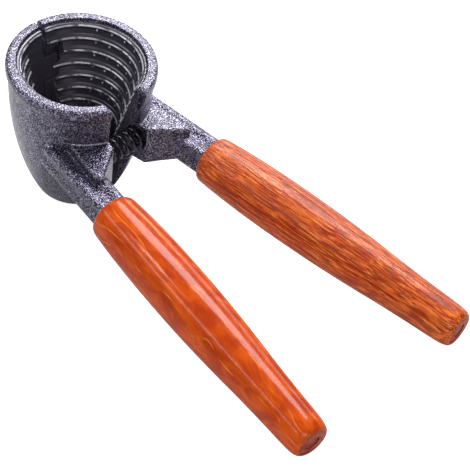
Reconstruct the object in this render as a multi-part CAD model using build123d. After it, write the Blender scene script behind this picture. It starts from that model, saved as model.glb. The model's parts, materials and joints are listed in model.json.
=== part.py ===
from build123d import *
import math
import os

# A two-handled nutcracker. Two cast jaws make a ribbed cup that is split down the middle.
# They turn on a pin at the back of the cup, a coil spring between the arms holds them
# open, and each arm ends in a tang inside a turned wooden grip.
#
# Everything is drawn in the cup's own frame first: cup axis on Z, hinge on the -X side and
# grips towards +X. Heights start just above the foot, which lies at FOOT_LEVEL. The front jaw
# is on -Y and the rear jaw on +Y. The last section tilts the whole tool until the foot and
# both grips stand on z = 0.

FRONT = -1
REAR = 1

# ---------------------------------------------------------------- driving dimensions (mm)
# cup
CUP_HEIGHT = 60.6
RIM_RADIUS = 28.0
MOUTH_RADIUS = 24.0
RIM_DROP = 5.2              # height of the rounded bead below the rim
FOOT_RADIUS = 13.8
FOOT_LEVEL = -2.5
WALL_OUTSIDE = [(15.5, -1.1), (18.2, 4.8), (21.4, 14.0), (24.9, 29.4), (26.6, 44.0), (27.1, 55.0)]
WALL_TOP = 55.0             # the wall leans about this height
WALL_LEAN = 1.7             # degrees that the wall below the bead leans towards the hinge
BOWL_FLOOR = 5.5            # inside floor of the cup
BOWL_RADIUS = 8.5           # inside radius where the bowl leaves the floor

# ribs inside the cup
RIB_COUNT = 7
RIB_TOP = 58.15             # height of the first crest
RIB_PITCH = 5.04
RIB_CREST = 22.1            # crest radius of the first rib
RIB_TAPER = 1.35            # each crest stands this much further in
RIB_LEDGE = 0.7             # depth of the upper step
RIB_DEPTH = 1.4             # depth from wall to crest

# hinge
HINGE_X = -27.5
OPEN_HALF = 7.8             # each jaw stands this many degrees open at rest
PARTING_GAP = 0.15          # parting face to the plane through the hinge
SEAM_GAP = 0.8              # half the seam at the back of the cup
BARREL_RADIUS = 5.0
PIN_RADIUS = 2.0
PIN_TOP = 53.2              # the pin ends blind inside the upper knuckle
PIN_HEAD_RADIUS = 2.7
PIN_HEAD = 1.2
RUNNING_FIT = 0.05          # radial clearance of the pin in the front jaw
KNUCKLE_LOW = (25.0, 38.3)  # rear jaw, lower knuckle
KNUCKLE_MID = (38.6, 47.7)  # front jaw, middle knuckle
KNUCKLE_TOP = (48.0, 54.4)  # rear jaw, upper knuckle
WINDOW_TOP = 51.7           # the rear jaw is open above the middle knuckle up to here
WINDOW_X = -18.5
WINDOW_SIZE = (8.0, 6.8)    # along X and away from the parting plane
PAD_REACH = {REAR: 3.5, FRONT: 5.3}
PAD_FACE = (-15.0, 27.0)    # a point of the pads' inside face in the XZ plane
PAD_LEAN = 0.25             # the pads' inside face leans outwards this much per mm of height
SWING_GAP = 0.35            # clearance round a knuckle over its swing
SMOOTH_WIDTH = 10.0         # width without ribs beside the hinge on the front jaw
SMOOTH_HEIGHTS = (19.25, 56.75)

# front corner of each jaw at the rim
CORNER_BACK = 2.2
CORNER_DROP = 6.0

# arm: a block beside the parting face, and a four-lobed bar behind it
BLOCK_LOW = 26.2
BLOCK_UNDERCUT = 8.5        # degrees that the underside rises away from the parting face
BLOCK_TOP = 43.4
BLOCK_CHAMFER = 0.7
BLOCK_CORNER = (29.0, 8.0)
BLOCK_END = (38.4, 20.9)
BLOCK_BACK = [(36.0, 22.6), (27.0, 21.2), (14.0, 19.0)]
BAR_LOBE = 7.5
BAR_GROOVE = 4.9
BAR_LENGTH = 39.0
SCOOP_RADIUS = 3.4
SCOOP_OFFSET = 8.1
SCOOP_START = 11.5

# grips
GRIP_START = (48.0, 23.65, 34.5)
GRIP_SPREAD = 6.3           # degrees away from the X axis
GRIP_RISE = 0.5             # degrees above the XY plane
GRIP_LENGTH = 114.0
GRIP_MOUTH = 7.7
GRIP_PROFILE = [(9.4, 2.2), (10.5, 28.0), (10.15, 57.0), (8.5, 86.0), (7.5, 108.5)]
GRIP_DISC = 5.6             # flat at the far end
TANG_RADIUS = 4.0
TANG_LENGTH = 70.0
TANG_FIT = 0.05
TAP_DEPTH = 29.0            # depth of the tapped hole in the tang's end
SCREW_RADIUS = 1.5
SCREW_HEAD_RADIUS = 2.75
SCREW_HEAD = 2.4
SCREW_LENGTH = 40.0
SCREW_SEAT = 14.0           # depth of the head seat below the grip's far end
PLUG_RADIUS = 2.8
PLUG_LENGTH = 6.0
PLUG_DEPTH = 0.3            # the plug sits this far inside the end

# spring
SPRING_X = 23.9
SPRING_Z = 36.6
SPRING_MEAN = 4.05
SPRING_WIRE = 1.1
SPRING_TURNS = 8.0
POCKET_RADIUS = 4.85
POCKET_DEPTH = 4.5

# ---------------------------------------------------------------- small helpers
def parting_y(x):
    """Height of the rear jaw's parting face above the X axis, at x."""
    return PARTING_GAP + (x - HINGE_X) * math.tan(math.radians(OPEN_HALF))


def mirrored(points, side):
    """Plan points drawn for the rear jaw, put on the given side."""
    return [(x, y * side) for x, y in points]


def prism(points, low, high):
    """Solid of a plan polygon between two heights."""
    with BuildPart() as solid:
        with BuildSketch(Plane.XY.offset(low)):
            with BuildLine():
                Polyline(*points, close=True)
            make_face()
        extrude(amount=high - low)
    return solid.part


def turned(outline):
    """Solid of revolution about Z from a closed list of edges in the XZ plane."""
    with BuildPart() as solid:
        with BuildSketch(Plane.XZ):
            with BuildLine():
                for edge in outline:
                    add(edge)
            make_face()
        revolve(axis=Axis.Z)
    return solid.part


def rod(radius, low, high, x=0.0, y=0.0):
    """Upright cylinder between two heights."""
    return Pos(x, y, (low + high) / 2) * Cylinder(radius, high - low)


def grip_plane(side, along=0.0):
    """Plane across a grip's axis, with its Z pointing to the far end."""
    spread = math.radians(GRIP_SPREAD) * side
    rise = math.radians(GRIP_RISE)
    ahead = Vector(math.cos(spread) * math.cos(rise), math.sin(spread) * math.cos(rise), math.sin(rise))
    across = Vector(-math.sin(spread), math.cos(spread), 0) * side
    x, y, z = GRIP_START
    start = Vector(x, y * side, z) + ahead * along
    return Plane(origin=start, x_dir=across, z_dir=ahead)


# ---------------------------------------------------------------- cup
def rib_outline():
    """Inside of the cup from mouth to bowl: each rib is a thin ledge above a crest."""
    points = [(MOUTH_RADIUS, CUP_HEIGHT + 1.0), (MOUTH_RADIUS, RIB_TOP + 1.0)]
    for rib in range(RIB_COUNT):
        crest = RIB_CREST - RIB_TAPER * rib
        height = RIB_TOP - RIB_PITCH * rib
        if rib > 0:
            points.append((crest + RIB_DEPTH, height + 1.5))
        points.append((crest + RIB_LEDGE, height + 1.3 - 0.3 * (rib == 0)))
        points.append((crest + RIB_LEDGE, height + 0.5))
        points.append((crest, height + 0.3))
        points.append((crest, height - 0.5))
        points.append((crest + 0.6, height - 1.3))
    return points


def cup_blank():
    """Whole cup, not yet split: bullet-shaped outside, ribbed inside, rounded rim."""
    top = CUP_HEIGHT
    bead = top - RIM_DROP
    below = FOOT_LEVEL - 2.0
    wall = turned([
        Line((0, below), (FOOT_RADIUS, below)),
        Polyline((FOOT_RADIUS, below), (FOOT_RADIUS, FOOT_LEVEL), WALL_OUTSIDE[0]),
        Spline(*WALL_OUTSIDE, tangents=[(0.5, 1), (0.05, 1)]),
        Line(WALL_OUTSIDE[-1], (0, WALL_TOP)),
        Line((0, WALL_TOP), (0, below)),
    ])
    wall = Pos(0, 0, WALL_TOP) * Rot(0, WALL_LEAN, 0) * Pos(0, 0, -WALL_TOP) * wall
    wall &= Pos(0, 0, FOOT_LEVEL + top / 2) * Box(4 * RIM_RADIUS, 4 * RIM_RADIUS, top)
    low = WALL_TOP - 1.5
    rim = turned([
        Line((0, low), (WALL_OUTSIDE[-1][0] - 0.3, low)),
        Spline((WALL_OUTSIDE[-1][0] - 0.3, low), (RIM_RADIUS, bead + 2.2), tangents=[(0.1, 1), (0.02, 1)]),
        Spline((RIM_RADIUS, bead + 2.2), (RIM_RADIUS - 1.4, top), tangents=[(0, 1), (-1, 0)]),
        Line((RIM_RADIUS - 1.4, top), (0, top)),
        Line((0, top), (0, low)),
    ])
    outside = wall + rim
    ribs = rib_outline()
    last = ribs[-1]
    inside = turned([
        Polyline(*ribs),
        Spline(last, (BOWL_RADIUS, BOWL_FLOOR), tangents=[(-0.1, -1), (-1, -0.15)]),
        Line((BOWL_RADIUS, BOWL_FLOOR), (0, BOWL_FLOOR)),
        Line((0, BOWL_FLOOR), (0, ribs[0][1])),
        Line((0, ribs[0][1]), ribs[0]),
    ])
    return outside - inside


def cavity():
    """Clear space of the cup, for trimming the arm and the hinge where they reach inside."""
    wall = RIB_CREST + RIB_DEPTH - 0.2
    slope = RIB_TAPER / RIB_PITCH
    low = 20.0
    return turned([
        Line((0, CUP_HEIGHT + 1), (wall + slope * 2, CUP_HEIGHT + 1)),
        Line((wall + slope * 2, CUP_HEIGHT + 1), (wall - slope * (RIB_TOP - low), low)),
        Line((wall - slope * (RIB_TOP - low), low), (0, low)),
        Line((0, low), (0, CUP_HEIGHT + 1)),
    ])


def jaw_half(side):
    """Room that one jaw may fill: everything on its side of the parting face and seam."""
    back = -60.0
    front = 90.0
    bend = HINGE_X + (SEAM_GAP - PARTING_GAP) / math.tan(math.radians(OPEN_HALF))
    plan = [(back, SEAM_GAP), (bend, SEAM_GAP), (front, parting_y(front)), (front, 80.0), (back, 80.0)]
    return prism(mirrored(plan, side), -5.0, 80.0)


def rim_corner(side):
    """Waste that rounds the front corner of a jaw between the rim and the parting face."""
    top = CUP_HEIGHT
    low = top - CORNER_DROP
    above = top + 3.0
    outside = -6.0
    with BuildPart() as waste:
        with BuildSketch(Plane.YZ):
            with BuildLine():
                Spline((CORNER_BACK, top), (0, low), tangents=[(-1, -0.15), (0.02, -1)])
                Polyline((0, low), (outside, low), (outside, above))
                Polyline((outside, above), (CORNER_BACK, above), (CORNER_BACK, top))
            make_face()
        extrude(amount=90)
    solid = Pos(HINGE_X, PARTING_GAP, 0) * Rot(0, 0, OPEN_HALF) * Pos(40, 0, 0) * waste.part
    return solid if side == REAR else mirror(solid, Plane.XZ)


# ---------------------------------------------------------------- hinge
def knuckle_plate(side, low, high, reach, grow):
    """Pad that carries a knuckle over to the other jaw's side, flush with the cup's wall."""
    inner = -10.0
    back = HINGE_X + 2.0
    bend = inner - PAD_LEAN * (high - KNUCKLE_LOW[0]) - grow
    edge = -reach - grow
    plan = [(back, edge + 1.2), (bend, edge), (inner, edge), (inner, 9.0), (back, 5.0)]
    return prism(mirrored(plan, side), low - grow, high + grow)


def plate_face(grow):
    """Inside limit of the knuckle pads: a flat that leans with the cup's wall."""
    low = 10.0
    high = 60.0
    outside = -45.0
    face_x, face_z = PAD_FACE
    lower = (face_x - PAD_LEAN * (low - face_z) + grow, low)
    upper = (face_x - PAD_LEAN * (high - face_z) + grow, high)
    with BuildPart() as room:
        with BuildSketch(Plane.XZ):
            with BuildLine():
                Polyline(lower, upper, (outside, high), (outside, low), close=True)
            make_face()
        extrude(amount=30, both=True)
    return room.part


def knuckle(side, span, reach, grow=0.0):
    """Barrel, web and inner pad of one knuckle."""
    low, high = span
    body = rod(BARREL_RADIUS + grow, low - grow, high + grow, HINGE_X)
    if reach > 0:
        body += knuckle_plate(side, low, high, reach, grow) & plate_face(grow)
    return body


def web(side, span):
    """Bridge from a barrel to the outside of the cup's wall."""
    low, high = span
    plan = [(HINGE_X, SEAM_GAP), (-21.5, SEAM_GAP), (-21.5, BARREL_RADIUS), (HINGE_X, BARREL_RADIUS)]
    return prism(mirrored(plan, side), low, high)


def swing_room(side, span, reach):
    """Room that a knuckle of the given jaw sweeps, seen from the other jaw."""
    room = None
    steps = 5
    for step in range(steps + 1):
        turn = 2 * OPEN_HALF * step / steps * -side
        turned_by = Pos(HINGE_X, 0, 0) * Rot(0, 0, turn) * Pos(-HINGE_X, 0, 0)
        here = turned_by * knuckle(side, span, reach, SWING_GAP)
        room = here if room is None else room + here
    return room


# ---------------------------------------------------------------- arm
def lobed_face():
    """Four-lobed section of the arm's bar, lobes on the diagonals."""
    middle = (BAR_LOBE + BAR_GROOVE) / 2
    swing = (BAR_LOBE - BAR_GROOVE) / 2
    count = 32
    points = []
    for i in range(count):
        angle = 2 * math.pi * i / count
        radius = middle - swing * math.cos(4 * angle)
        points.append((radius * math.cos(angle), radius * math.sin(angle)))
    with BuildSketch() as face:
        with BuildLine():
            Spline(*points, periodic=True)
        make_face()
    return face.sketch


def arm(side):
    """Block, bar and tang of one arm, before it is trimmed to the cup."""
    plan = [(14.0, 6.0), (BLOCK_CORNER[0], 6.0), BLOCK_CORNER, BLOCK_END, *BLOCK_BACK]
    block = prism(plan, BLOCK_LOW - 1.0, BLOCK_TOP)
    block = chamfer(block.edges().group_by(Axis.Z)[-1].sort_by(Axis.X)[-3:], BLOCK_CHAMFER)
    rise = math.radians(BLOCK_UNDERCUT)
    along = math.atan2(BLOCK_END[1] - BLOCK_CORNER[1], BLOCK_END[0] - BLOCK_CORNER[0])
    upwards = (-math.sin(rise) * math.cos(along), -math.sin(rise) * math.sin(along), math.cos(rise))
    block = split(block, Plane(origin=(*BLOCK_CORNER, BLOCK_LOW), z_dir=upwards), keep=Keep.TOP)
    # the block's side is scooped out where the bar's inner groove begins
    diagonal = SCOOP_RADIUS * 0.7071
    scoop = turned([
        ThreePointArc((0, -SCOOP_RADIUS), (diagonal, -diagonal), (SCOOP_RADIUS, 0)),
        Polyline((SCOOP_RADIUS, 0), (SCOOP_RADIUS, SCOOP_START), (0, SCOOP_START), (0, -SCOOP_RADIUS)),
    ])
    block -= grip_plane(REAR, -SCOOP_START).location * Pos(-SCOOP_OFFSET, 0, 0) * scoop
    bar = extrude(grip_plane(REAR, -BAR_LENGTH) * lobed_face(), BAR_LENGTH)
    tang = rod(TANG_RADIUS, -2.0, TANG_LENGTH) - rod(SCREW_RADIUS, TANG_LENGTH - TAP_DEPTH, TANG_LENGTH + 1)
    body = block + bar + grip_plane(REAR).location * tang
    return body if side == REAR else mirror(body, Plane.XZ)


def pocket(side):
    """Blind hole for one end of the spring, square to the spring's axis."""
    mouth = parting_y(SPRING_X)
    length = POCKET_DEPTH + 6.0
    centre = mouth + POCKET_DEPTH - length / 2
    return Pos(SPRING_X, centre * side, SPRING_Z) * Rot(90, 0, 0) * Cylinder(POCKET_RADIUS, length)


# ---------------------------------------------------------------- the pieces
def jaw(side):
    """One cast jaw: half the cup, its knuckles and its arm with the tang."""
    other = -side
    mine = [KNUCKLE_LOW, KNUCKLE_TOP] if side == REAR else [KNUCKLE_MID]
    theirs = [KNUCKLE_LOW, KNUCKLE_TOP] if side == FRONT else [KNUCKLE_MID]
    body = cup_blank() + (arm(side) - cavity())
    if side == FRONT:
        low, high = SMOOTH_HEIGHTS
        clear = Pos(-20, -SMOOTH_WIDTH / 2, (low + high) / 2) * Box(30, SMOOTH_WIDTH, high - low)
        body -= cavity() & clear
    body = body & jaw_half(side)
    body -= rim_corner(side)
    for span in theirs:
        reach = 0.0 if span == KNUCKLE_TOP else PAD_REACH[other]
        body -= swing_room(other, span, reach)
    if side == REAR:
        low, high = KNUCKLE_MID
        along, away = WINDOW_SIZE
        window = Box(along, away, WINDOW_TOP - high + 0.8)
        body -= Pos(WINDOW_X, away / 2, (high + WINDOW_TOP) / 2) * window
    for span in mine:
        reach = 0.0 if span == KNUCKLE_TOP else PAD_REACH[side]
        body += knuckle(side, span, reach) + web(side, span)
    bore = PIN_RADIUS if side == REAR else PIN_RADIUS + RUNNING_FIT
    body -= rod(bore, 0, PIN_TOP + 0.1, HINGE_X)
    body -= pocket(side)
    return body


def hinge_pin():
    """Steel pin driven in from below, with a domed head under the lower knuckle."""
    low = KNUCKLE_LOW[0]
    shank = rod(PIN_RADIUS, low, PIN_TOP, HINGE_X)
    shank = chamfer(shank.edges().sort_by(Axis.Z)[-1], 0.4)
    head = rod(PIN_HEAD_RADIUS, low - PIN_HEAD, low, HINGE_X)
    head = fillet(head.edges().sort_by(Axis.Z)[0], PIN_HEAD * 0.8)
    return shank + head


def return_spring():
    """Compression spring from pocket floor to pocket floor."""
    length = 2 * (parting_y(SPRING_X) + POCKET_DEPTH) - SPRING_WIRE
    helix = Helix(length / SPRING_TURNS, length, SPRING_MEAN)
    with BuildPart() as coil:
        with BuildLine():
            add(helix)
        with BuildSketch(Plane(origin=helix @ 0, z_dir=helix % 0)):
            Circle(SPRING_WIRE / 2)
        sweep(is_frenet=True)
    return Pos(SPRING_X, length / 2, SPRING_Z) * Rot(90, 0, 0) * coil.part


def grip(side):
    """Turned wooden grip with a bore for the tang and a counterbored end."""
    end = GRIP_LENGTH
    body = turned([
        Line((0, 0), (GRIP_MOUTH, 0)),
        Spline((GRIP_MOUTH, 0), GRIP_PROFILE[0], tangents=[(1, 0.1), (0.35, 1)]),
        Spline(*GRIP_PROFILE, tangents=[(0.2, 1), (-0.03, 1)]),
        Spline(GRIP_PROFILE[-1], (GRIP_DISC, end), tangents=[(-0.05, 1), (-1, 0.25)]),
        Line((GRIP_DISC, end), (0, end)),
        Line((0, end), (0, 0)),
    ])
    seat = end - SCREW_SEAT
    body -= rod(TANG_RADIUS + TANG_FIT, -1, TANG_LENGTH + 1.0)
    body -= rod(SCREW_RADIUS + 0.2, TANG_LENGTH, seat)
    body -= rod(PLUG_RADIUS, seat, end + 1)
    return grip_plane(side).location * body


def grip_screw(side):
    """Machine screw from the grip's end into the tang."""
    seat = GRIP_LENGTH - SCREW_SEAT
    shank = rod(SCREW_RADIUS, seat - SCREW_LENGTH, seat)
    head = rod(SCREW_HEAD_RADIUS, seat, seat + SCREW_HEAD)
    slot = Pos(0, 0, seat + SCREW_HEAD) * Box(8, 0.8, 1.6)
    return grip_plane(side).location * (shank + head - slot)


def grip_plug(side):
    """Wooden plug that closes the screw's hole."""
    top = GRIP_LENGTH - PLUG_DEPTH
    return grip_plane(side).location * rod(PLUG_RADIUS, top - PLUG_LENGTH, top)


# ---------------------------------------------------------------- standing on the table
def rest_tilt():
    """Angle that brings the foot's front edge and the grips' undersides onto one plane."""
    slopes = []
    foot_edge = FOOT_RADIUS - (WALL_TOP - FOOT_LEVEL) * math.tan(math.radians(WALL_LEAN))
    for radius, along in GRIP_PROFILE:
        x = GRIP_START[0] + along * math.cos(math.radians(GRIP_SPREAD))
        z = GRIP_START[2] + along * math.sin(math.radians(GRIP_RISE)) - radius
        slopes.append(math.degrees(math.atan2(z - FOOT_LEVEL, x - foot_edge)))
    return min(slopes)


def main():
    """Build every node, stand the tool on the table and write one STEP per node."""
    nodes = {
        "front_jaw": jaw(FRONT),
        "rear_jaw": jaw(REAR),
        "hinge_pin": hinge_pin(),
        "return_spring": return_spring(),
    }
    for name, side in (("front", FRONT), ("rear", REAR)):
        nodes[name + "_grip"] = grip(side)
        nodes[name + "_grip_screw"] = grip_screw(side)
        nodes[name + "_grip_plug"] = grip_plug(side)

    tilt = rest_tilt()
    tilted = {name: Rot(0, tilt, 0) * shape for name, shape in nodes.items()}
    boxes = [shape.bounding_box() for shape in tilted.values()]
    shift_x = -(min(b.min.X for b in boxes) + max(b.max.X for b in boxes)) / 2
    shift_y = -(min(b.min.Y for b in boxes) + max(b.max.Y for b in boxes)) / 2
    shift_z = -min(b.min.Z for b in boxes)
    print("tilt", round(tilt, 4), "shift", round(shift_x, 4), round(shift_y, 4), round(shift_z, 4))

    os.makedirs("parts", exist_ok=True)
    for name, shape in tilted.items():
        export_step(Pos(shift_x, shift_y, shift_z) * shape, f"parts/{name}.step")


if __name__ == "__main__":
    main()
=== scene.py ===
"""Looks of a hand nutcracker: two cast jaws that make a split, ribbed cup, and turned wooden grips.

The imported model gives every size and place. This script casts the jaws again with the soft edges
and the small teeth of a real casting, winds the spring, turns the grips and gives each finish.
"""
import json
import logging
import math
from dataclasses import dataclass, field
from enum import Enum

import bmesh
import bpy
from mathutils import Matrix, Vector


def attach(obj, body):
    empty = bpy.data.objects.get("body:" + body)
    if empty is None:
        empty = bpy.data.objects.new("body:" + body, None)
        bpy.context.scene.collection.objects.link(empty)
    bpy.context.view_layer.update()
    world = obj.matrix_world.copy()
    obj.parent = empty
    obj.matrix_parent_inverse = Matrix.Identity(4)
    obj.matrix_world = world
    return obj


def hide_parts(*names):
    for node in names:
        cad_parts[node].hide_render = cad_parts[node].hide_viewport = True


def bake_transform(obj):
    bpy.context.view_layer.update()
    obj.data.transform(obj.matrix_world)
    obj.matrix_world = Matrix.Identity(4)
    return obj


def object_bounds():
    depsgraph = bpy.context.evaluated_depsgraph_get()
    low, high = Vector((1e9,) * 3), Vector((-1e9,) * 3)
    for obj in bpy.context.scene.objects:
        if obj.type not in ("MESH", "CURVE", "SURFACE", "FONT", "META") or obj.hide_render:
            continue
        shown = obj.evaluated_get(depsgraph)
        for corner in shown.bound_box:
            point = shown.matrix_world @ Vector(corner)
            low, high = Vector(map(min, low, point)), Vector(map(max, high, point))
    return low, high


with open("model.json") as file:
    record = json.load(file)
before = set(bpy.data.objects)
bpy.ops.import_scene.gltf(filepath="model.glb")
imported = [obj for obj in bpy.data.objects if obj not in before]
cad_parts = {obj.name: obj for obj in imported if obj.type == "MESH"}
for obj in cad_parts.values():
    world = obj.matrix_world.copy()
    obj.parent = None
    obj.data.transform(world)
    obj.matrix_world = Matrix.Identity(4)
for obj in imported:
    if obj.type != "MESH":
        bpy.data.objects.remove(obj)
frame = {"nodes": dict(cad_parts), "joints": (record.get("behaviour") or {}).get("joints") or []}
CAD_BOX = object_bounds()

log = logging.getLogger("nutcracker")
MM = 0.001
HINGE = Vector((-27.5, 0.0, 43.15))     # middle of the hinge in the cup's own frame, in mm
Colour = tuple[float, float, float]
Band = tuple[float, float]               # where a mask is 0, and where it is 1


class Side(Enum):
    """The two halves of the tool, by the sign of their Y."""

    FRONT = -1
    REAR = 1

    @property
    def word(self) -> str:
        """Name of this half, as the CAD nodes and bodies spell it."""
        return self.name.lower()

    @property
    def body(self) -> str:
        """CAD body that this half rides on."""
        return f"{self.word}_half"


class Figure(Enum):
    """How a grip's blank was sawn."""

    FLAT_SAWN = "flat_sawn"
    STRAIGHT = "straight"


# ------------------------------------------------------------------------------- places
@dataclass(frozen=True)
class ToolFrame:
    """The cup's own frame in millimetres: cup axis on Z, grips on +X, rear jaw on +Y.

    Args:
        to_row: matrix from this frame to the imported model's frame in metres.
    """

    to_row: Matrix

    @classmethod
    def from_joint(cls, joint: dict) -> "ToolFrame":
        """Finds the frame from the jaws' hinge.

        Args:
            joint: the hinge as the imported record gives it.

        Returns:
            The frame whose Z lies along the hinge's axis.
        """
        tilt = math.atan2(joint["axis"][0], joint["axis"][2])
        turn = Matrix.Rotation(tilt, 4, "Y")
        shift = Vector(joint["pos_m"]) - turn @ (HINGE * MM)
        return cls(Matrix.Translation(shift) @ turn @ Matrix.Scale(MM, 4))

    def point(self, x: float, y: float, z: float) -> Vector:
        """A point of this frame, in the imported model's frame."""
        return self.to_row @ Vector((x, y, z))

    def direction(self, way: Vector) -> Vector:
        """A unit vector of this frame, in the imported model's frame."""
        return (self.to_row.to_3x3() @ way).normalized()


@dataclass(frozen=True)
class GripLine:
    """Axis of one grip in the tool's frame, from the collar to the far end.

    Args:
        side: which half the grip belongs to.
        start: middle of the collar on the rear half, in mm.
        spread: angle away from the X axis, in degrees.
        rise: angle above the XY plane, in degrees.
    """

    side: Side
    start: tuple[float, float, float] = (48.0, 23.65, 34.5)
    spread: float = 6.3
    rise: float = 0.5

    def matrix(self, tool: ToolFrame) -> Matrix:
        """Matrix that stands a piece turned about Z in mm along the grip's axis in the row frame."""
        spread = math.radians(self.spread) * self.side.value
        rise = math.radians(self.rise)
        level = Vector((math.cos(spread), math.sin(spread), 0.0))
        ahead = level * math.cos(rise) + Vector((0.0, 0.0, math.sin(rise)))
        across = Vector((-math.sin(spread), math.cos(spread), 0.0))
        third = ahead.cross(across)
        x, y, z = self.start
        start = Vector((x, y * self.side.value, z))
        turn = Matrix((across, third, ahead)).transposed().to_4x4()
        return tool.to_row @ Matrix.Translation(start) @ turn


# ------------------------------------------------------------------------- mesh helpers
def new_piece(name: str, shape: bmesh.types.BMesh) -> bpy.types.Object:
    """Makes a scene object from a bmesh, and frees the bmesh.

    Args:
        name: the piece's name.
        shape: its mesh, with its place in the vertices.

    Returns:
        The object, at the origin.
    """
    mesh = bpy.data.meshes.new(name)
    shape.to_mesh(mesh)
    shape.free()
    piece = bpy.data.objects.new(name, mesh)
    bpy.context.scene.collection.objects.link(piece)
    return piece


def smooth_shaded(piece: bpy.types.Object, crease: float) -> None:
    """Shades a piece smooth, apart from edges that turn more than the crease in degrees."""
    piece.data.shade_smooth()
    piece.data.set_sharp_from_angle(angle=math.radians(crease))


def hang_on(piece: bpy.types.Object, body: str, slot: str, *nodes: str) -> None:
    """Rides a piece on its body and lets it stand for CAD nodes.

    Args:
        piece: the finished piece.
        body: CAD body that it moves with.
        slot: the record's material slot; not used.
        nodes: CAD nodes that it replaces.
    """
    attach(piece, body)
    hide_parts(*nodes)
    log.info("%s rides on %s: %d faces", piece.name, body, len(piece.data.polygons))


# ------------------------------------------------------------------------- node helpers
class Graph:
    """Short forms for building one node tree."""

    def __init__(self, tree: bpy.types.NodeTree) -> None:
        """Keeps the tree that the other methods add to."""
        self.tree = tree

    def add(self, kind: str, inputs: dict | None = None, **settings: object) -> bpy.types.Node:
        """Adds a node.

        Args:
            kind: Blender's name of the node type.
            inputs: value or output socket for each input, by name or number.
            settings: the node's own properties.

        Returns:
            The node.
        """
        node = self.tree.nodes.new(kind)
        for key, value in settings.items():
            setattr(node, key, value)
        for key, value in (inputs or {}).items():
            if isinstance(value, bpy.types.NodeSocket):
                self.tree.links.new(value, node.inputs[key])
            else:
                node.inputs[key].default_value = value
        return node

    def math(self, operation: str, *values: object) -> bpy.types.NodeSocket:
        """Result of a Math node on numbers or sockets."""
        return self.add("ShaderNodeMath", dict(enumerate(values)), operation=operation).outputs[0]

    def times(self, first: object, *others: object) -> bpy.types.NodeSocket:
        """Product of numbers or sockets."""
        for other in others:
            first = self.math("MULTIPLY", first, other)
        return first

    def between(self, share: object, low: float, high: float) -> bpy.types.NodeSocket:
        """Number that goes from low to high as the share goes from 0 to 1."""
        return self.math("MULTIPLY_ADD", share, high - low, low)

    def length(self, vector: object) -> bpy.types.NodeSocket:
        """Length of a vector."""
        return self.add("ShaderNodeVectorMath", {0: vector}, operation="LENGTH").outputs["Value"]

    def mix(self, share: object, first: object, second: object) -> bpy.types.NodeSocket:
        """Colour between two colours or sockets."""
        inputs = {0: share, 6: rgba(first), 7: rgba(second)}
        return self.add("ShaderNodeMix", inputs, data_type="RGBA").outputs[2]

    def band(self, value: object, low: float, high: float) -> bpy.types.NodeSocket:
        """Smooth step from 0 at low to 1 at high."""
        inputs = {0: value, 1: low, 2: high, 3: 0.0, 4: 1.0}
        return self.add("ShaderNodeMapRange", inputs, interpolation_type="SMOOTHSTEP").outputs[0]

    def noise(
        self, where: object, scale: object, detail: float = 2.0, twist: float = 0.0
    ) -> bpy.types.NodeSocket:
        """Value of a Noise texture."""
        inputs = {"Vector": where, "Scale": scale, "Detail": detail, "Distortion": twist}
        return self.add("ShaderNodeTexNoise", inputs).outputs[0]

    def stretched(self, where: object, scale: Colour) -> bpy.types.NodeSocket:
        """Coordinates multiplied along each axis."""
        return self.add("ShaderNodeMapping", {"Vector": where, "Scale": scale}).outputs[0]

    def seen_from(self, where: object, place: Matrix) -> bpy.types.NodeSocket:
        """Coordinates in metres along the axes of another place."""
        inputs = {
            "Vector": where,
            "Location": place.to_translation(),
            "Rotation": place.to_3x3().normalized().to_euler(),
        }
        return self.add("ShaderNodeMapping", inputs, vector_type="TEXTURE").outputs[0]

    def measured_from(self, where: object, place: Matrix) -> tuple:
        """Distances along the axes of a place, and the distance away from its Z axis."""
        spot = self.add("ShaderNodeSeparateXYZ", {0: self.seen_from(where, place)})
        along, across, height = spot.outputs
        flat = self.add("ShaderNodeCombineXYZ", {0: along, 1: across}).outputs[0]
        return along, across, height, self.length(flat)


def rgba(colour: object) -> object:
    """A colour of three numbers with alpha added. A socket is passed on."""
    return (*colour, 1.0) if isinstance(colour, tuple) else colour


def new_group(name: str, takes: dict[str, float | None], gives: dict[str, str]) -> tuple:
    """Makes an empty shader node group.

    Args:
        name: the group's name.
        takes: each input's name and its number, or None for a vector.
        gives: each output's name and its socket type.

    Returns:
        The group, its Graph, the input node and the output node.
    """
    group = bpy.data.node_groups.new(name, "ShaderNodeTree")
    for label, value in takes.items():
        kind = "NodeSocketVector" if value is None else "NodeSocketFloat"
        socket = group.interface.new_socket(name=label, in_out="INPUT", socket_type=kind)
        if value is not None:
            socket.default_value = value
    for label, kind in gives.items():
        group.interface.new_socket(name=label, in_out="OUTPUT", socket_type=kind)
    graph = Graph(group)
    return group, graph, graph.add("NodeGroupInput"), graph.add("NodeGroupOutput")


def handling_marks() -> bpy.types.NodeTree:
    """Group for the faint smears and fine scuffs that handling leaves on any finish."""
    takes = {"Vector": None, "Size": 0.008, "Amount": 0.08}
    group, graph, given, result = new_group("HandlingMarks", takes, {"Roughness": "NodeSocketFloat"})
    scale = graph.math("DIVIDE", 1.0, given.outputs["Size"])
    cloud = graph.noise(given.outputs["Vector"], scale, detail=3.0, twist=0.4)
    scuff = graph.noise(given.outputs["Vector"], graph.times(scale, 9.0), detail=2.0)
    both = graph.math("ADD", graph.times(cloud, 0.7), graph.times(scuff, 0.3))
    centred = graph.math("SUBTRACT", both, 0.5)
    spread = graph.times(centred, given.outputs["Amount"], 2.0)
    graph.tree.links.new(spread, result.inputs["Roughness"])
    return group


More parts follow.
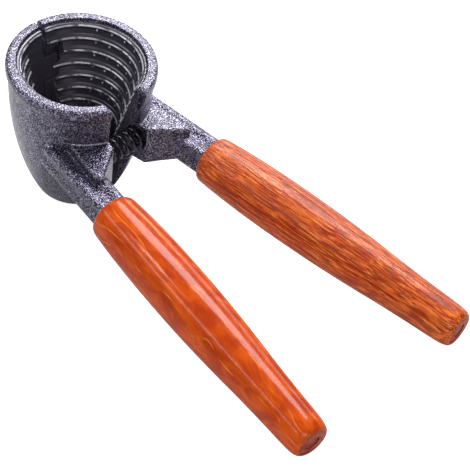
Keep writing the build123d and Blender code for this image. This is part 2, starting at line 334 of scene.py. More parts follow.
def wood_grain() -> bpy.types.NodeTree:
    """Group for sawn and turned wood.

    Its Vector runs along Z in metres, with the pith off to one side.
    """
    pith = (-0.021, -0.012)
    cloud_size, drift_size, wander_size = 1 / 190, 1 / 55, 1 / 70
    cloud_length, fleck_length, fleck_width = 0.55, 0.16, 0.75
    bend_depth = 0.0012
    takes = {"Vector": None, "Ring": 0.006, "Waviness": 0.5, "Streak": 0.0007, "Length": 22.0}
    gives = {name: "NodeSocketFloat" for name in ("Cloud", "Ring line", "Streak", "Fleck")}
    group, graph, given, result = new_group("WoodGrain", takes, gives)
    where = given.outputs["Vector"]
    slow = graph.stretched(where, (1.0, 1.0, cloud_length))
    drift = graph.noise(slow, 1 / drift_size, detail=2.0, twist=0.3)
    cloud = graph.noise(slow, 1 / cloud_size, detail=6.0, twist=0.9)
    # growth rings round a pith that lies beside the blank
    plan = graph.add("ShaderNodeSeparateXYZ", {0: where})
    off = [graph.math("SUBTRACT", plan.outputs[axis], pith[axis]) for axis in (0, 1)]
    radius = graph.length(graph.add("ShaderNodeCombineXYZ", dict(enumerate(off))).outputs[0])
    rings = graph.math("DIVIDE", radius, given.outputs["Ring"])
    wave = graph.times(given.outputs["Waviness"], 6.0)
    sway = graph.times(graph.math("SUBTRACT", drift, 0.5), wave)
    phase = graph.math("FRACT", graph.math("ADD", rings, sway))
    line = graph.math("ABSOLUTE", graph.math("SUBTRACT", phase, 0.5))
    # fibres: noise drawn out along the blank
    squeeze = graph.math("DIVIDE", 1.0, given.outputs["Length"])
    factor = graph.add("ShaderNodeCombineXYZ", {0: 1.0, 1: 1.0, 2: squeeze}).outputs[0]
    fibre = graph.add("ShaderNodeVectorMath", {0: where, 1: factor}, operation="MULTIPLY").outputs[0]
    wander = graph.add("ShaderNodeTexNoise", {"Vector": where, "Scale": 1 / wander_size}).outputs[1]
    bend = graph.add("ShaderNodeVectorMath", {0: wander, "Scale": bend_depth}, operation="SCALE")
    fibre = graph.add("ShaderNodeVectorMath", {0: fibre, 1: bend.outputs[0]}, operation="ADD").outputs[0]
    streak_scale = graph.math("DIVIDE", 1.0, given.outputs["Streak"])
    streak = graph.noise(fibre, streak_scale, detail=3.0)
    shorter = graph.stretched(where, (1.0, 1.0, fleck_length))
    fleck = graph.noise(shorter, graph.times(streak_scale, fleck_width), detail=2.0, twist=0.6)
    for name, value in zip(gives, (cloud, line, streak, fleck)):
        graph.tree.links.new(value, result.inputs[name])
    return group


class Finish:
    """A material under construction: its Graph, its shader and its coordinates."""

    def __init__(self, name: str) -> None:
        """Starts a material that holds only a Principled shader.

        Args:
            name: the material's name.
        """
        self.material = bpy.data.materials.new(name)
        self.material.use_nodes = True
        self.graph = Graph(self.material.node_tree)
        self.shader = self.material.node_tree.nodes["Principled BSDF"]
        self.where = self.graph.add("ShaderNodeTexCoord").outputs["Object"]

    def set(self, **values: object) -> None:
        """Sets or links the shader's inputs. An underscore in a name stands for a space."""
        for key, value in values.items():
            socket = self.shader.inputs[key.replace("_", " ")]
            if isinstance(value, bpy.types.NodeSocket):
                self.graph.tree.links.new(value, socket)
            else:
                socket.default_value = rgba(value)

    def bumped(self, height: object, depth: float) -> None:
        """Gives the shader a bump of a depth in metres."""
        inputs = {"Strength": 1.0, "Distance": depth, "Height": height}
        bump = self.graph.add("ShaderNodeBump", inputs)
        self.graph.tree.links.new(bump.outputs[0], self.shader.inputs["Normal"])

    def marked(self, marks: bpy.types.NodeTree, rough: object, size: float, amount: float) -> None:
        """Sets a roughness that handling has made uneven.

        Args:
            marks: the HandlingMarks group.
            rough: roughness of the clean finish, a number or a socket.
            size: size of the smears in metres.
            amount: how far the roughness strays.
        """
        group = self.graph.add("ShaderNodeGroup", {}, node_tree=marks)
        group.inputs["Size"].default_value = size
        group.inputs["Amount"].default_value = amount
        self.graph.tree.links.new(self.where, group.inputs["Vector"])
        total = self.graph.math("ADD", rough, group.outputs["Roughness"])
        self.graph.tree.links.new(total, self.shader.inputs["Roughness"])


# ----------------------------------------------------------------------------- finishes
@dataclass(frozen=True)
class EnamelAndHighlightPlaces:
    """Where the jaws' paint is smooth enamel, and where highlights are painted on it, in metres along the
    tool's frame.

    Args:
        mouth: radius of the cup's mouth.
        cup_height: height of the rim.
        narrowing: how fast the smooth inside narrows below the rim.
        inside_edge: distance inside the narrowing limit.
        floor_edge: height of the cup's floor.
        first_crest: height of the top rib's edge, where a highlight is painted on.
        rib_pitch: distance between ribs.
        crest_line: distance from the edge with a rib's painted highlight, as a part of the pitch.
        crest_radius: radius of the top rib's crest.
        cone_slope: how much the crests' radius shrinks per metre of depth.
        crest_edge: distance inside the cone of the crests, where a crest starts.
        tooth_edge: distance inside the cone of the crests, which only the teeth reach.
        arm_top: height of the fillet above the arms' flat tops.
        fillet_line: distance above or below the fillet.
        fillet_near: distance from the cup's axis where the fillet starts.
        fillet_far: distance from the cup's axis where the fillet ends.
        arm_edge: distance of the arms' outer edges from the middle.
        arm_start: distance along the arms where the fillet starts.
    """

    mouth: float = 0.02415
    cup_height: float = 0.0606
    narrowing: float = 0.13
    inside_edge: Band = (0.0, 0.0004)
    floor_edge: Band = (0.0046, 0.0052)
    first_crest: float = 0.0585
    rib_pitch: float = 0.00504
    crest_line: Band = (0.055, 0.022)
    crest_radius: float = 0.0222
    cone_slope: float = 0.268
    crest_edge: Band = (-0.0009, -0.0006)
    tooth_edge: Band = (0.0001, 0.00025)
    arm_top: float = 0.0437
    fillet_line: Band = (0.0003, 0.0001)
    fillet_near: Band = (0.0255, 0.0257)
    fillet_far: Band = (0.0281, 0.0275)
    arm_edge: Band = (0.0225, 0.0205)
    arm_start: Band = (0.010, 0.014)

    def inside(self, graph: Graph, height: object, radius: object) -> bpy.types.NodeSocket:
        """Mask of the cup's inside, which is smooth dark enamel."""
        below_rim = graph.math("SUBTRACT", self.cup_height, height)
        limit = graph.math("SUBTRACT", self.mouth, graph.times(below_rim, self.narrowing))
        within = graph.band(graph.math("SUBTRACT", limit, radius), *self.inside_edge)
        return graph.times(within, graph.band(height, *self.floor_edge))

    def crests(self, graph: Graph, height: object, radius: object) -> bpy.types.NodeSocket:
        """Mask of the painted highlight on the ribs' crests and on the teeth, which reach past the
        crests' cone.
        """
        rib = graph.math("DIVIDE", graph.math("SUBTRACT", height, self.first_crest), self.rib_pitch)
        off = graph.math("ABSOLUTE", graph.math("SUBTRACT", rib, graph.math("ROUND", rib)))
        drop = graph.math("SUBTRACT", self.first_crest, height)
        cone = graph.math("SUBTRACT", self.crest_radius, graph.times(drop, self.cone_slope))
        past = graph.math("SUBTRACT", cone, radius)
        crest = graph.times(graph.band(off, *self.crest_line), graph.band(past, *self.crest_edge))
        return graph.math("MAXIMUM", crest, graph.band(past, *self.tooth_edge))

    def fillet(self, graph: Graph, spot: tuple) -> bpy.types.NodeSocket:
        """Mask of the painted highlight along the fillet where the arms' flat tops meet the cup's wall.
        """
        along, across, height, radius = spot
        above = graph.math("ABSOLUTE", graph.math("SUBTRACT", height, self.arm_top))
        return graph.times(
            graph.band(above, *self.fillet_line),
            graph.band(radius, *self.fillet_near),
            graph.band(radius, *self.fillet_far),
            graph.band(graph.math("ABSOLUTE", across), *self.arm_edge),
            graph.band(along, *self.arm_start),
        )


@dataclass(frozen=True)
class HammerPaint:
    """Hammered paint: a dark glossy coat, pebbled by a silver vein, and smooth inside the cup, with
    highlights painted on the ribs' crests, the teeth and the fillet above the arms.

    Args:
        vein: colour of the raised pebbles.
        pit: colour between the pebbles.
        enamel: colour inside the cup.
        painted_highlight: colour of the ribs' worn crests.
        pebble: size of a pebble in metres.
        patch: size of a brighter or darker patch of pebbles in metres.
        patch_lift: how much a patch raises its pebbles.
        depth: depth of the pebbles' bump in metres.
        silver: level of the pebbles at which the vein shows.
        spark: level at which a pebble sparkles.
        spark_gain: how many times brighter a sparkle is than the vein.
        crest_highlight_patches: level of the patches at which a crest gets its painted highlight.
        fillet_highlight: how strongly the highlight is painted on the fillet above the arms.
        metal: metallic share inside and outside the cup.
        rough: roughness of the pits and of the veins.
        bump_inside: share of the bump that is left inside the cup.
        enamel_and_highlights: where the paint is smooth, and where highlights are painted on.
    """

    vein: Colour = (0.185, 0.17, 0.245)
    pit: Colour = (0.012, 0.011, 0.018)
    enamel: Colour = (0.060, 0.055, 0.075)
    painted_highlight: Colour = (0.60, 0.58, 0.68)
    pebble: float = 0.00050
    patch: float = 0.003125
    patch_lift: float = 0.2
    depth: float = 0.00042
    silver: Band = (0.44, 0.53)
    spark: Band = (0.57, 0.64)
    spark_gain: float = 2.4
    crest_highlight_patches: Band = (0.35, 0.55)
    fillet_highlight: float = 0.7
    metal: Band = (0.3, 0.9)
    rough: Band = (0.20, 0.30)
    bump_inside: float = 0.15
    enamel_and_highlights: EnamelAndHighlightPlaces = EnamelAndHighlightPlaces()

    def make(self, marks: bpy.types.NodeTree, tool: ToolFrame) -> bpy.types.Material:
        """Builds the paint.

        Args:
            marks: the HandlingMarks group.
            tool: the tool's frame, which tells where the inside of the cup is.

        Returns:
            The material.
        """
        paint = Finish("hammer_paint")
        graph = paint.graph
        pebbles = graph.noise(paint.where, 1.0 / self.pebble, detail=1.0, twist=0.2)
        patches = graph.noise(paint.where, 1.0 / self.patch, detail=2.0)
        raised = graph.times(graph.math("SUBTRACT", patches, 0.5), self.patch_lift)
        level = graph.math("ADD", pebbles, raised)
        spot = graph.measured_from(paint.where, tool.to_row)
        height, radius = spot[2:]
        inside = self.enamel_and_highlights.inside(graph, height, radius)
        outside = graph.math("SUBTRACT", 1.0, inside)
        silver = graph.times(graph.band(level, *self.silver), outside)
        spark = graph.times(graph.band(level, *self.spark), outside)
        sparkling = tuple(min(1.0, part * self.spark_gain) for part in self.vein)
        hammered = graph.mix(spark, graph.mix(silver, self.pit, self.vein), sparkling)
        # Painted highlight: a pale colour on the ribs' crests and the teeth, in patches, and along the
        # fillet above the arms.
        crests = graph.times(inside, self.enamel_and_highlights.crests(graph, height, radius))
        smooth = graph.mix(graph.times(crests, graph.band(patches, *self.crest_highlight_patches)), self.enamel, self.painted_highlight)
        fillet = graph.times(self.enamel_and_highlights.fillet(graph, spot), self.fillet_highlight)
        colour = graph.mix(fillet, graph.mix(outside, smooth, hammered), self.painted_highlight)
        metal = graph.between(outside, *self.metal)
        paint.set(Base_Color=colour, Metallic=metal, Coat_Weight=0.25, Coat_Roughness=0.2)
        paint.marked(marks, graph.between(silver, *self.rough), size=0.009, amount=0.08)
        paint.bumped(graph.times(level, graph.between(outside, self.bump_inside, 1.0)), self.depth)
        return paint.material


@dataclass(frozen=True)
class BareSteel:
    """Turned or drawn steel.

    Args:
        name: the material's name.
        colour: colour of the clean metal.
        rough: its roughness.
        lines: width of the drawing lines in metres.
    """

    name: str
    colour: Colour
    rough: float
    lines: float

    def make(self, marks: bpy.types.NodeTree) -> bpy.types.Material:
        """Builds the steel.

        Args:
            marks: the HandlingMarks group.

        Returns:
            The material.
        """
        steel = Finish(self.name)
        graph = steel.graph
        along = graph.stretched(steel.where, (1.0, 0.12, 1.0))
        drawn = graph.noise(along, 1.0 / self.lines, detail=3.0)
        dull = tuple(part * 0.6 for part in self.colour)
        steel.set(Base_Color=graph.mix(graph.band(drawn, 0.35, 0.7), dull, self.colour), Metallic=1.0)
        steel.marked(marks, self.rough, size=0.003, amount=0.12)
        steel.bumped(drawn, depth=0.00002)
        return steel.material


@dataclass(frozen=True)
class LacqueredWood:
    """Stained hardwood under gloss lacquer.

    Args:
        name: the material's name.
        figure: how the blank was sawn.
        dark: stain in the dense wood.
        light: stain in the open wood.
        line: colour of the ring lines or of the pores.
        streak: width of a fibre in metres.
        length: how many times a fibre is longer than wide.
        gloss: how strongly the fibres themselves shine.
        lacquer: how much smooth gloss lies over the fibres.
        glint: pale colour of some fibres in straight wood, a painted highlight that stands in for broken
            gloss.
    """

    name: str
    figure: Figure
    dark: Colour
    light: Colour
    line: Colour
    streak: float
    length: float
    gloss: float
    lacquer: float
    glint: Colour = (1.0, 0.42, 0.13)

    def make(
        self, grain: bpy.types.NodeTree, marks: bpy.types.NodeTree, place: Matrix
    ) -> bpy.types.Material:
        """Builds the wood.

        Args:
            grain: the WoodGrain group.
            marks: the HandlingMarks group.
            place: matrix of the grip's line, so that the grain runs along it.

        Returns:
            The material.
        """
        wood = Finish(self.name)
        graph = wood.graph
        figure = graph.add("ShaderNodeGroup", {}, node_tree=grain)
        graph.tree.links.new(graph.seen_from(wood.where, place), figure.inputs["Vector"])
        figure.inputs["Streak"].default_value = self.streak
        figure.inputs["Length"].default_value = self.length
        tint = self._flat_sawn if self.figure is Figure.FLAT_SAWN else self._straight
        colour, height, depth = tint(graph, figure)
        gloss = {"Specular_IOR_Level": self.gloss, "Coat_Weight": self.lacquer, "Coat_Roughness": 0.13}
        wood.set(Base_Color=colour, **gloss)
        wood.marked(marks, 0.30, size=0.006, amount=0.10)
        wood.bumped(height, depth)
        return wood.material

    def _flat_sawn(self, graph: Graph, figure: bpy.types.Node) -> tuple:
        """Colour, bump height and its depth of a cloudy figure with broken bright ring lines."""
        fleck = figure.outputs["Fleck"]
        base = graph.mix(graph.band(figure.outputs["Cloud"], 0.30, 0.66), self.dark, self.light)
        toned = graph.mix(graph.times(graph.band(fleck, 0.48, 0.66), 0.6), base, self.dark)
        ring = graph.band(figure.outputs["Ring line"], 0.07, 0.012)
        broken = graph.band(figure.outputs["Streak"], 0.46, 0.62)
        colour = graph.mix(graph.times(ring, broken, 0.55), toned, self.line)
        return colour, graph.times(fleck, 0.4), 0.00003

    def _straight(self, graph: Graph, figure: bpy.types.Node) -> tuple:
        """Colour, bump height and its depth of straight fibres with dark pores, and a painted highlight
        on some fibres.
        """
        streak = figure.outputs["Streak"]
        base = graph.mix(graph.band(figure.outputs["Cloud"], 0.24, 0.74), self.dark, self.light)
        flecks = graph.times(graph.band(figure.outputs["Fleck"], 0.46, 0.36), 0.7)
        pores = graph.math("MAXIMUM", graph.band(streak, 0.55, 0.45), flecks)
        fibres = graph.mix(graph.times(pores, 0.8), base, self.line)
        # Painted highlight: some fibres take the pale glint colour, standing in for broken strands of
        # gloss.
        colour = graph.mix(graph.times(graph.band(streak, 0.59, 0.66), 0.5), fibres, self.glint)
        return colour, graph.math("SUBTRACT", streak, graph.times(flecks, 0.3)), 0.00022


@dataclass(frozen=True)
class EndGrain:
    """Cut end of a grip or a plug: rings and open pores under lacquer.

    Args:
        name: the material's name.
        dark: colour of the pores and the dense rings.
        light: colour of the open rings.
        pore: size of a pore in metres.
        ring: width of a ring in metres.
    """

    name: str = "end_grain"
    dark: Colour = (0.22, 0.028, 0.014)
    light: Colour = (0.52, 0.085, 0.040)
    pore: float = 1 / 2200
    ring: float = 1 / 700

    def make(self, marks: bpy.types.NodeTree) -> bpy.types.Material:
        """Builds the end grain.

        Args:
            marks: the HandlingMarks group.

        Returns:
            The material.
        """
        wood = Finish(self.name)
        graph = wood.graph
        pores = graph.noise(wood.where, 1 / self.pore, detail=2.0)
        sawn = graph.stretched(wood.where, (1.0, 0.3, 1.0))
        rings = graph.noise(sawn, 1 / self.ring, detail=3.0, twist=0.6)
        tone = graph.math("ADD", graph.times(pores, 0.45), graph.times(rings, 0.55))
        colour = graph.mix(graph.band(tone, 0.38, 0.62), self.dark, self.light)
        wood.set(Base_Color=colour, Specular_IOR_Level=0.1, Coat_Weight=0.2, Coat_Roughness=0.25)
        wood.marked(marks, 0.5, size=0.004, amount=0.08)
        wood.bumped(tone, depth=0.00006)
        return wood.material


# --------------------------------------------------------------------------- the pieces
@dataclass
class Jaw:
    """One cast jaw: half the cup, its knuckles, its arm and tang.

    The casting is the CAD node with its edges rounded, and with the small teeth of the ribs.
    """

    side: Side
    voxel: float = 0.27
    soften: int = 1
    most_faces: int = 190_000
    stub: float = 5.5
    rib_count: int = 7
    rib_top: float = 58.15
    rib_pitch: float = 5.04
    rib_crest: float = 22.1
    rib_taper: float = 1.35
    tooth_radius: float = 0.62
    tooth_drop: float = 0.9
    tooth_columns: tuple[float, ...] = (126.0, 110.0, 94.0, 78.0, 62.0, 46.0, 30.0)

    @property
    def node(self) -> str:
        """CAD node that the casting stands for."""
        return f"{self.side.word}_jaw"

    def build(self, tool: ToolFrame, grip: Matrix, paint: bpy.types.Material) -> bpy.types.Object:
        """Makes the casting and rides it on its half.

        Args:
            tool: the tool's frame.
            grip: matrix of the line of the grip on this jaw.
            paint: the jaws' paint.

        Returns:
            The piece.
        """
        shape = bmesh.new()
        shape.from_mesh(frame["nodes"][self.node].data)
        bmesh.ops.remove_doubles(shape, verts=shape.verts, dist=1e-6)
        self._shorten_tang(shape, grip)
        self._add_teeth(shape, tool)
        casting = self._fused(new_piece(f"{self.node}_casting", shape))
        casting.data.materials.clear()
        casting.data.materials.append(paint)
        casting.data.shade_smooth()
        hang_on(casting, self.side.body, "jaw_paint", self.node)
        return casting

    def _shorten_tang(self, shape: bmesh.types.BMesh, grip: Matrix) -> None:
        """Cuts the tang to the length of the bore in the grip's piece."""
        end = grip @ Vector((0.0, 0.0, self.stub))
        ahead = grip.to_3x3() @ Vector((0.0, 0.0, 1.0))
        whole = [*shape.verts, *shape.edges, *shape.faces]
        cut = bmesh.ops.bisect_plane(shape, geom=whole, plane_co=end, plane_no=ahead, clear_outer=True)
        rim = [item for item in cut["geom_cut"] if isinstance(item, bmesh.types.BMEdge)]
        bmesh.ops.holes_fill(shape, edges=rim)

    def _add_teeth(self, shape: bmesh.types.BMesh, tool: ToolFrame) -> None:
        """Sets a column of small round teeth under the ribs' crests, at each angle."""
        for rib in range(self.rib_count):
            crest = self.rib_crest - self.rib_taper * rib
            height = self.rib_top - self.rib_pitch * rib - self.tooth_drop
            for angle in self.tooth_columns:
                turn = math.radians(angle) * self.side.value
                place = tool.point(crest * math.cos(turn), crest * math.sin(turn), height)
                size = Matrix.Translation(place) @ Matrix.Scale(self.tooth_radius * MM, 4)
                bmesh.ops.create_icosphere(shape, subdivisions=2, radius=1.0, matrix=size)

    def _fused(self, rough: bpy.types.Object) -> bpy.types.Object:
        """Fuses the shells of a piece into one skin, as a casting is, and rounds its edges."""
        modifier = rough.modifiers.new("skin", "REMESH")
        modifier.mode = "VOXEL"
        modifier.voxel_size = self.voxel * MM
        modifier.adaptivity = 0.0
        graph = bpy.context.evaluated_depsgraph_get()
        skin_triangles = 2 * len(rough.evaluated_get(graph).data.polygons)
        relax = rough.modifiers.new("relax", "SMOOTH")
        relax.factor = 0.5
        relax.iterations = self.soften
        thin = rough.modifiers.new("thin", "DECIMATE")
        thin.ratio = min(1.0, self.most_faces / skin_triangles)
        graph = bpy.context.evaluated_depsgraph_get()
        skin = bpy.data.meshes.new_from_object(rough.evaluated_get(graph))
        name = rough.name
        bpy.data.objects.remove(rough)
        skin.name = name
        casting = bpy.data.objects.new(name, skin)
        bpy.context.scene.collection.objects.link(casting)
        return casting


@dataclass
class ReturnSpring:
    """Compression spring between the pockets of the two arm blocks, with closed end coils."""

    x: float = 23.9
    z: float = 36.6
    half_length: float = 10.9
    mean_radius: float = 4.05
    wire_radius: float = 0.55
    open_turns: float = 6.3
    closed_turns: float = 0.85
    steps_a_turn: int = 40
    wire_sides: int = 14

    def build(self, tool: ToolFrame, steel: bpy.types.Material) -> bpy.types.Object:
        """Winds the wire and lays the spring between the two halves.

        Args:
            tool: the tool's frame.
            steel: the spring's finish.

        Returns:
            The piece.
        """
        shape = bmesh.new()
        start = Matrix.Translation((self.mean_radius, 0.0, 0.0)) @ Matrix.Rotation(math.pi / 2, 4, "X")
        made = bmesh.ops.create_circle(
            shape, cap_ends=True, segments=self.wire_sides, radius=self.wire_radius, matrix=start
        )
        last = list({face for vert in made["verts"] for face in vert.link_faces})
        closed = self.wire_radius * 2.06
        open_pitch = (2 * self.half_length - 2 * self.closed_turns * closed) / self.open_turns
        end_coil = (self.closed_turns, closed)
        for turns, pitch in (end_coil, (self.open_turns, open_pitch), end_coil):
            last = self._wind(shape, last, turns, pitch)
        bmesh.ops.remove_doubles(shape, verts=shape.verts, dist=0.001)
        bmesh.ops.recalc_face_normals(shape, faces=shape.faces)
        lay = Matrix.Translation((self.x, -self.half_length, self.z))
        lay = lay @ Matrix.Rotation(-math.pi / 2, 4, "X")
        bmesh.ops.transform(shape, matrix=tool.to_row @ lay, verts=shape.verts)
        spring = new_piece("coil_spring", shape)
        spring.data.materials.append(steel)
        smooth_shaded(spring, 40.0)
        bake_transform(spring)
        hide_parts("return_spring")
        log.info("%s has %d faces", spring.name, len(spring.data.polygons))
        return spring

    def _wind(self, shape: bmesh.types.BMesh, section: list, turns: float, pitch: float) -> list:
        """Winds the wire on from its last section.

        Args:
            shape: the spring so far.
            section: the face that the wire ends in.
            turns: how many turns to add.
            pitch: advance of one turn in mm.

        Returns:
            The new last section.
        """
        steps = round(self.steps_a_turn * turns)
        advance = Vector((0.0, 0.0, pitch * turns / steps))
        wound = bmesh.ops.spin(
            shape, geom=section, cent=(0.0, 0.0, 0.0), axis=(0.0, 0.0, 1.0), dvec=advance,
            angle=2 * math.pi * turns, steps=steps, use_merge=False, use_duplicate=False,
        )
        return [item for item in wound["geom_last"] if isinstance(item, bmesh.types.BMFace)]


@dataclass
class Grip:
    """Turned wooden grip with a bore at the collar and a flat far end round the plug."""

    side: Side
    length: float = 114.0
    bore: float = 4.05
    bore_depth: float = 6.0
    plug_hole: float = 2.8
    plug_hole_depth: float = 1.6
    disc: float = 5.6
    segments: int = 96
    outline: tuple[tuple[float, float], ...] = (
        (7.7, 0.0), (8.5, 0.22), (9.1, 0.85), (9.4, 2.2), (9.85, 8.5), (10.22, 16.0), (10.5, 28.0),
        (10.47, 43.0), (10.15, 57.0), (9.42, 72.0), (8.5, 86.0), (7.92, 98.0), (7.5, 108.5),
        (7.2, 111.3), (6.6, 113.2), (5.9, 113.85), (5.6, 114.0),
    )

    def build(
        self, place: Matrix, wood: bpy.types.Material, end: bpy.types.Material
    ) -> bpy.types.Object:
        """Turns the grip and rides it on its half.

        Args:
            place: matrix of the grip's line.
            wood: the grip's lacquered wood.
            end: end grain of its flat far end.

        Returns:
            The piece.
        """
        shape = bmesh.new()
        curve = self._smooth_outline()
        hole = self.length - self.plug_hole_depth
        ring = [(0.0, self.bore_depth), (self.bore, self.bore_depth), (self.bore, 0.0), *curve,
                (self.plug_hole, self.length), (self.plug_hole, hole), (0.0, hole)]
        verts = [shape.verts.new((radius, 0.0, height)) for radius, height in ring]
        edges = [shape.edges.new(pair) for pair in zip(verts, verts[1:])]
        bmesh.ops.spin(
            shape, geom=verts + edges, cent=(0.0, 0.0, 0.0), axis=(0.0, 0.0, 1.0),
            angle=2 * math.pi, steps=self.segments, use_merge=True, use_duplicate=False,
        )
        bmesh.ops.remove_doubles(shape, verts=shape.verts, dist=0.0005)
        bmesh.ops.recalc_face_normals(shape, faces=shape.faces)
        for face in shape.faces:
            middle = face.calc_center_median()
            if middle.z > hole - 0.01 and math.hypot(middle.x, middle.y) < self.disc:
                face.material_index = 1
        bmesh.ops.transform(shape, matrix=place, verts=shape.verts)
        grip = new_piece(f"{self.side.word}_wooden_grip", shape)
        grip.data.materials.append(wood)
        grip.data.materials.append(end)
        smooth_shaded(grip, 38.0)
        hang_on(grip, self.side.body, f"{self.side.word}_wood", f"{self.side.word}_grip")
        return grip

    def _smooth_outline(self) -> list[tuple[float, float]]:
        """Outline with three points more between each two, on a smooth curve."""
        points = [Vector(pair) for pair in self.outline]
        closed = [points[0] * 2 - points[1], *points, points[-1] * 2 - points[-2]]
        result = []
        for before, here, there, after in zip(closed, closed[1:], closed[2:], closed[3:]):
            reach = (there - here).length
            tangents = [(b - a).normalized() * reach for a, b in ((before, there), (here, after))]
            for step in range(4):
                share = step / 4
                a, b = share ** 3, share ** 2
                spot = (2 * a - 3 * b + 1) * here + (a - 2 * b + share) * tangents[0]
                spot += (3 * b - 2 * a) * there + (a - b) * tangents[1]
                result.append((spot.x, spot.y))
        result.append(self.outline[-1])
        return result


@dataclass
class Plug:
    """Small wooden plug in the far end of a grip, with a broken edge."""

    side: Side
    top: float = 113.7
    radius: float = 2.78
    length: float = 6.0
    edge: float = 0.3

    def build(self, place: Matrix, end: bpy.types.Material) -> bpy.types.Object:
        """Makes the plug and rides it on its half.

        Args:
            place: matrix of the grip's line.
            end: the plug's end grain.

        Returns:
            The piece.
        """
        shape = bmesh.new()
        middle = Matrix.Translation((0.0, 0.0, self.top - self.length / 2))
        bmesh.ops.create_cone(
            shape, cap_ends=True, segments=48, radius1=self.radius, radius2=self.radius,
            depth=self.length, matrix=middle,
        )
        rim = [edge for edge in shape.edges if all(vert.co.z > self.top - 0.01 for vert in edge.verts)]
        bmesh.ops.bevel(
            shape, geom=rim, offset=self.edge, segments=3, profile=0.5, affect="EDGES", material=-1
        )
        bmesh.ops.transform(shape, matrix=place, verts=shape.verts)
        plug = new_piece(f"{self.side.word}_end_plug", shape)
        plug.data.materials.append(end)
        smooth_shaded(plug, 40.0)
        hang_on(plug, self.side.body, "plug_wood", f"{self.side.word}_grip_plug")
        return plug


@dataclass(frozen=True)
class Fastenings:
    """Pin and screws, which keep their CAD shape."""

    pin: str = "hinge_pin"
    screws: tuple[str, ...] = ("front_grip_screw", "rear_grip_screw")

    def dress(self, pin: bpy.types.Material, screw: bpy.types.Material) -> None:
        """Gives the pin and the screws their steel.

        Args:
            pin: finish of the hinge pin.
            screw: finish of the screws.
        """
        for name, steel in [(self.pin, pin), *((name, screw) for name in self.screws)]:
            data = frame["nodes"][name].data
            data.materials.clear()
            data.materials.append(steel)
            log.info("%s keeps its CAD shape", name)


# --------------------------------------------------------------------------- the studio
def towards(azimuth: float, elevation: float) -> Vector:
    """Unit vector away from the tool, at two angles in degrees."""
    turn, lift = math.radians(azimuth), math.radians(elevation)
    return Vector((math.sin(turn) * math.cos(lift), -math.cos(turn) * math.cos(lift), math.sin(lift)))


@dataclass(frozen=True)
class Softbox:
    """One area light that faces the tool.

    Args:
        name: the light's name.
        azimuth: its angle round the tool, in degrees.
        elevation: its angle above the floor, in degrees.
        distance: how far it stands off, in metres.
        size: its width and height in metres.
        power: its power in watts.
    """

    name: str
    azimuth: float
    elevation: float
    distance: float
    size: tuple[float, float]
    power: float

    def place(self, aim: Vector) -> None:
        """Adds the light.

        Args:
            aim: point that it faces.
        """
        light = bpy.data.lights.new(self.name, "AREA")
        light.shape = "RECTANGLE"
        light.size, light.size_y = self.size
        light.energy = self.power
        lamp = bpy.data.objects.new(self.name, light)
        back = towards(self.azimuth, self.elevation)
        lamp.location = aim + back * self.distance
        lamp.rotation_euler = back.to_track_quat("Z", "Y").to_euler()
        bpy.context.scene.collection.objects.link(lamp)


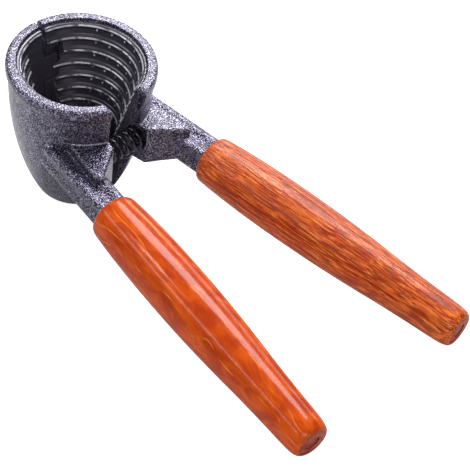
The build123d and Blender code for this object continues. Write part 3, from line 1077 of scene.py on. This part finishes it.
@dataclass
class Studio:
    """Pale floor, soft lights and the camera."""

    floor_size: float = 6.0
    floor_colour: Colour = (0.86, 0.86, 0.87)
    floor_paint: Colour = (0.62, 0.62, 0.63)
    floor_glow: float = 1.0
    floor_bounce: float = 0.04
    surround: float = 0.27
    azimuth: float = 39.67
    elevation: float = 48.09
    roll: float = 9.72
    distance: float = 560.2
    aim: tuple[float, float, float] = (56.72, 34.65, -8.57)
    lens: float = 107.94
    softboxes: list[Softbox] = field(default_factory=lambda: [
        Softbox("overhead_box", 206.0, 57.0, 0.9, (0.55, 0.40), 8.8),
        Softbox("left_strip", 334.0, 42.0, 0.9, (0.8, 0.09), 1.5),
        Softbox("small_box", 314.0, 58.0, 0.9, (0.10, 0.10), 0.5),
        Softbox("back_box", 204.0, 18.0, 0.9, (0.9, 0.25), 2.2),
        Softbox("fill_box", 48.0, 36.0, 1.0, (0.6, 0.45), 2.4),
    ])

    def build(self, tool: ToolFrame) -> None:
        """Sets the studio up round the tool.

        Args:
            tool: the tool's frame.
        """
        self._floor()
        self._lights()
        self._camera(tool)

    def _floor(self) -> None:
        """Lays the floor under the tool."""
        shape = bmesh.new()
        bmesh.ops.create_grid(shape, x_segments=1, y_segments=1, size=self.floor_size / 2)
        floor = new_piece("floor", shape)
        paint = Finish("floor_paint")
        paint.set(Base_Color=self.floor_paint, Roughness=0.9, Specular_IOR_Level=0.1)
        seen = paint.graph.add("ShaderNodeLightPath").outputs["Is Camera Ray"]
        glow = paint.graph.between(seen, self.floor_bounce, self.floor_glow)
        paint.set(Emission_Color=self.floor_colour, Emission_Strength=glow)
        floor.data.materials.append(paint.material)

    def _lights(self) -> None:
        """Hangs the softboxes in an even white surround."""
        world = bpy.data.worlds.new("surround")
        bpy.context.scene.world = world
        world.use_nodes = True
        world.node_tree.nodes["Background"].inputs[0].default_value = (1.0, 1.0, 1.0, 1.0)
        world.node_tree.nodes["Background"].inputs[1].default_value = self.surround
        middle = (CAD_BOX[0] + CAD_BOX[1]) / 2
        for box in self.softboxes:
            box.place(middle)
        bpy.context.scene.view_settings.view_transform = "Standard"

    def _camera(self, tool: ToolFrame) -> None:
        """Stands the camera off the tool at its angle."""
        turn, roll = math.radians(self.azimuth), math.radians(self.roll)
        back = towards(self.azimuth, self.elevation)
        level = Vector((math.cos(turn), math.sin(turn), 0.0))
        up = back.cross(level)
        right = level * math.cos(roll) + up * math.sin(roll)
        data = bpy.data.cameras.new("camera")
        data.lens = self.lens
        data.sensor_width = 36.0
        data.dof.use_dof = False
        data.clip_start = 0.01
        camera = bpy.data.objects.new("camera", data)
        axes = [tool.direction(way) for way in (right, back.cross(right), back)]
        turned = Matrix(axes).transposed().to_4x4()
        spot = tool.to_row @ (Vector(self.aim) + back * self.distance)
        camera.matrix_world = Matrix.Translation(spot) @ turned
        bpy.context.scene.collection.objects.link(camera)
        bpy.context.scene.camera = camera


# ---------------------------------------------------------------------------------- main
def main() -> None:
    """Builds every piece in order, dresses it and sets up the studio."""
    logging.basicConfig(level=logging.INFO, format="%(name)s: %(message)s")
    tool = ToolFrame.from_joint(frame["joints"][0])
    Studio().build(tool)
    marks = handling_marks()
    grain = wood_grain()
    paint = HammerPaint().make(marks, tool)
    end = EndGrain().make(marks)
    woods = {
        Side.FRONT: LacqueredWood(
            "front_lacquered_wood", Figure.FLAT_SAWN,
            dark=(0.44, 0.038, 0.002), light=(0.68, 0.092, 0.003), line=(0.90, 0.32, 0.07),
            streak=0.0009, length=22.0, gloss=0.05, lacquer=0.38,
        ),
        Side.REAR: LacqueredWood(
            "rear_lacquered_wood", Figure.STRAIGHT,
            dark=(0.62, 0.072, 0.005), light=(0.88, 0.18, 0.020), line=(0.22, 0.016, 0.004),
            streak=0.00045, length=34.0, gloss=0.18, lacquer=0.18,
        ),
    }
    for side in Side:
        place = GripLine(side).matrix(tool)
        Jaw(side).build(tool, place, paint)
        Grip(side).build(place, woods[side].make(grain, marks, place), end)
        Plug(side).build(place, end)
    spring_steel = BareSteel("black_spring_steel", (0.10, 0.10, 0.11), rough=0.20, lines=0.0012)
    ReturnSpring().build(tool, spring_steel.make(marks))
    Fastenings().dress(
        BareSteel("turned_pin_steel", (0.42, 0.42, 0.44), rough=0.34, lines=0.0005).make(marks),
        BareSteel("zinc_screw_steel", (0.60, 0.61, 0.63), rough=0.30, lines=0.0006).make(marks),
    )


if __name__ == "__main__":
    main()
